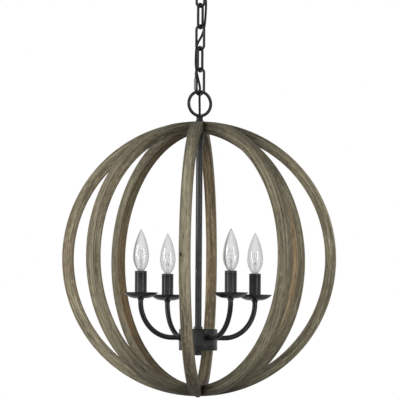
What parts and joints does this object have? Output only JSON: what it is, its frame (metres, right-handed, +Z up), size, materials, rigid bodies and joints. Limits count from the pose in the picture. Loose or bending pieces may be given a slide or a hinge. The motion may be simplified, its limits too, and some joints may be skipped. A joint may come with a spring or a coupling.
{
  "type": "pendant light",
  "caption": "Orb pendant of crossed weathered wood hoops round a candle-arm cluster, hung on a short chain from a round ceiling canopy.",
  "frame": {"origin": "centre of the mounting strap's slots, on the ceiling", "axes": "+Z up along the hanging axis; +X along the plane of one hoop"},
  "size_m": [0.5199, 0.52, 0.8408],
  "materials": {
    "dark_iron": "satin, green-black",
    "weathered_wood": "weathered, matt",
    "clear_glass": "clear",
    "brass": "bright",
    "black_phenolic": "moulded",
    "black_cord": "smooth",
    "zinc_steel": "zinc plated",
    "filament_steel": "dull"
  },
  "bodies": {
    "root": {"mounting_strap": "zinc_steel", "canopy_nipple": "zinc_steel", "canopy_loop": "dark_iron", "fixture_cord_0": "black_cord"},
    "canopy": {"ceiling_canopy": "dark_iron", "canopy_collar": "dark_iron"},
    "link_1": {"chain_link_1": "dark_iron", "fixture_cord_1": "black_cord"},
    "link_2": {"chain_link_2": "dark_iron", "fixture_cord_2": "black_cord"},
    "link_3": {"chain_link_3": "dark_iron", "fixture_cord_3": "black_cord"},
    "link_4": {"chain_link_4": "dark_iron", "fixture_cord_4": "black_cord"},
    "quick_link": {"quick_link": "dark_iron", "fixture_cord_5": "black_cord"},
    "sleeve": {"quick_link_sleeve": "dark_iron"},
    "bulb_1": {"bulb_glass_1": "clear_glass", "bulb_base_1": "brass", "bulb_filament_1": "filament_steel"},
    "bulb_2": {"bulb_glass_2": "clear_glass", "bulb_base_2": "brass", "bulb_filament_2": "filament_steel"},
    "bulb_3": {"bulb_glass_3": "clear_glass", "bulb_base_3": "brass", "bulb_filament_3": "filament_steel"},
    "bulb_4": {"bulb_glass_4": "clear_glass", "bulb_base_4": "brass", "bulb_filament_4": "filament_steel"},
    "fixture": {"arm_1": "dark_iron", "arm_2": "dark_iron", "arm_3": "dark_iron", "arm_4": "dark_iron", "arm_cups": "dark_iron", "arm_lock_nuts": "zinc_steel", "candle_cover_1": "dark_iron", "candle_cover_2": "dark_iron", "candle_cover_3": "dark_iron", "candle_cover_4": "dark_iron", "drip_pan_1": "dark_iron", "drip_pan_2": "dark_iron", "drip_pan_3": "dark_iron", "drip_pan_4": "dark_iron", "finial_knob": "dark_iron", "fixture_cord_6": "black_cord", "fixture_loop": "dark_iron", "hub_body": "dark_iron", "hub_cover": "dark_iron", "hub_nipple": "zinc_steel", "pole_bolt": "dark_iron", "pole_nut": "dark_iron", "socket_bodies": "black_phenolic", "socket_shells": "brass", "stem_collar": "dark_iron", "stem_coupling": "dark_iron", "stem_tube": "dark_iron", "wood_hoop_1": "weathered_wood", "wood_hoop_2": "weathered_wood", "wood_hoop_3": "weathered_wood", "wood_hoop_4": "weathered_wood"}
  },
  "joints": [
    {"name": "link_1_swing", "type": "hinge", "parent": "root", "child": "link_1", "pos_m": [0, 0, -0.0572], "axis": [0.4131, 0.9107, 0], "range_deg": [-18, 18], "deforming": ["fixture_cord_0", "fixture_cord_1"]},
    {"name": "link_2_swing", "type": "hinge", "parent": "link_1", "child": "link_2", "pos_m": [0, 0, -0.0985], "axis": [0.9107, -0.4131, 0], "range_deg": [-18, 18], "deforming": ["fixture_cord_1", "fixture_cord_2"]},
    {"name": "link_3_swing", "type": "hinge", "parent": "link_2", "child": "link_3", "pos_m": [0, 0, -0.1397], "axis": [0.4131, 0.9107, 0], "range_deg": [-18, 18], "deforming": ["fixture_cord_2", "fixture_cord_3"]},
    {"name": "link_4_swing", "type": "hinge", "parent": "link_3", "child": "link_4", "pos_m": [0, 0, -0.1809], "axis": [0.9107, -0.4131, 0], "range_deg": [-18, 18], "deforming": ["fixture_cord_3", "fixture_cord_4"]},
    {"name": "quick_link_swing", "type": "hinge", "parent": "link_4", "child": "quick_link", "pos_m": [0, 0, -0.2221], "axis": [0.4131, 0.9107, 0], "range_deg": [-18, 18], "deforming": ["fixture_cord_4", "fixture_cord_5"]},
    {"name": "fixture_swing", "type": "hinge", "parent": "quick_link", "child": "fixture", "pos_m": [0, 0, -0.2664], "axis": [0.9107, -0.4131, 0], "range_deg": [-18, 18], "deforming": ["fixture_cord_5", "fixture_cord_6"]},
    {"name": "canopy_slide", "type": "slide", "parent": "root", "child": "canopy", "axis": [0, 0, -1], "range_m": [0, 0.02]},
    {"name": "sleeve_slide", "type": "slide", "parent": "quick_link", "child": "sleeve", "axis": [0, 0, 1], "range_m": [0, 0.008]},
    {"name": "bulb_1_slide", "type": "slide", "parent": "fixture", "child": "bulb_1", "axis": [0, 0, 1], "range_m": [0, 0.018]},
    {"name": "bulb_2_slide", "type": "slide", "parent": "fixture", "child": "bulb_2", "axis": [0, 0, 1], "range_m": [0, 0.018]},
    {"name": "bulb_3_slide", "type": "slide", "parent": "fixture", "child": "bulb_3", "axis": [0, 0, 1], "range_m": [0, 0.018]},
    {"name": "bulb_4_slide", "type": "slide", "parent": "fixture", "child": "bulb_4", "axis": [0, 0, 1], "range_m": [0, 0.018]}
  ]
}
